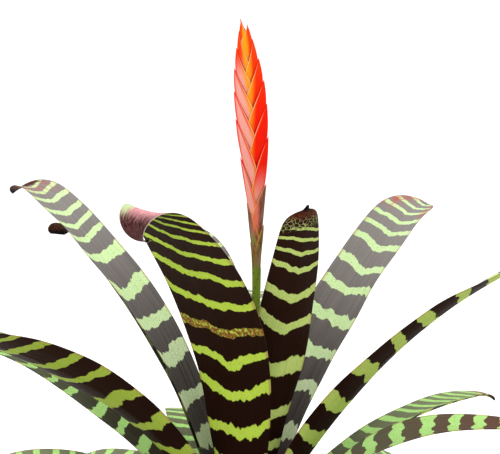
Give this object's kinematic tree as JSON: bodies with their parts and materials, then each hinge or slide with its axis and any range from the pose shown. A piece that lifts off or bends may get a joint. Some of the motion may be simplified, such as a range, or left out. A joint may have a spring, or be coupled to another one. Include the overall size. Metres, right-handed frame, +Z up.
{
  "type": "vriesea kokedama",
  "caption": "Flaming-sword bromeliad with banded strap leaves and a flat red flower spike, growing from a moss ball bound with twine.",
  "frame": {"origin": "centre of the flat that the moss ball rests on", "axes": "+Z up along the rosette; -Y towards the broad face of the flower spike and the large front leaf"},
  "size_m": [0.478, 0.4412, 0.4915],
  "materials": {
    "moss": "shaggy living sheet moss",
    "soil": "damp soil and roots",
    "twine": "twisted natural jute",
    "leaf": "smooth waxy leaf with dark cross bands",
    "stem": "smooth green stem",
    "scape_bract": "smooth brown and green bract",
    "spike_bract": "glossy red bract with a paler edge"
  },
  "bodies": {
    "root": {"moss_cover": "moss", "soil_ball": "soil", "binding_twine": "twine", "leaf_inner": "leaf", "leaf_front_right": "leaf", "leaf_front": "leaf", "leaf_right_tall": "leaf", "leaf_left_tall": "leaf", "leaf_left_tall_behind": "leaf", "leaf_back_right": "leaf", "leaf_right_arching": "leaf", "leaf_back_left": "leaf", "leaf_left_arching": "leaf", "leaf_right_upper": "leaf", "leaf_left_lower": "leaf", "leaf_right_lower": "leaf", "leaf_low_left": "leaf", "leaf_low_front": "leaf", "leaf_low_back_right": "leaf", "leaf_low_back_left": "leaf", "leaf_low_front_right": "leaf", "leaf_low_back": "leaf", "flower_stem": "stem", "scape_bract_01": "scape_bract", "scape_bract_02": "scape_bract", "scape_bract_03": "scape_bract", "scape_bract_04": "scape_bract", "scape_bract_05": "scape_bract", "scape_bract_06": "scape_bract", "spike_bract_01": "spike_bract", "spike_bract_02": "spike_bract", "spike_bract_03": "spike_bract", "spike_bract_04": "spike_bract", "spike_bract_05": "spike_bract", "spike_bract_06": "spike_bract", "spike_bract_07": "spike_bract", "spike_bract_08": "spike_bract", "spike_bract_09": "spike_bract", "spike_bract_10": "spike_bract", "spike_bract_11": "spike_bract", "spike_bract_12": "spike_bract", "spike_bract_13": "spike_bract"}
  },
  "joints": []
}
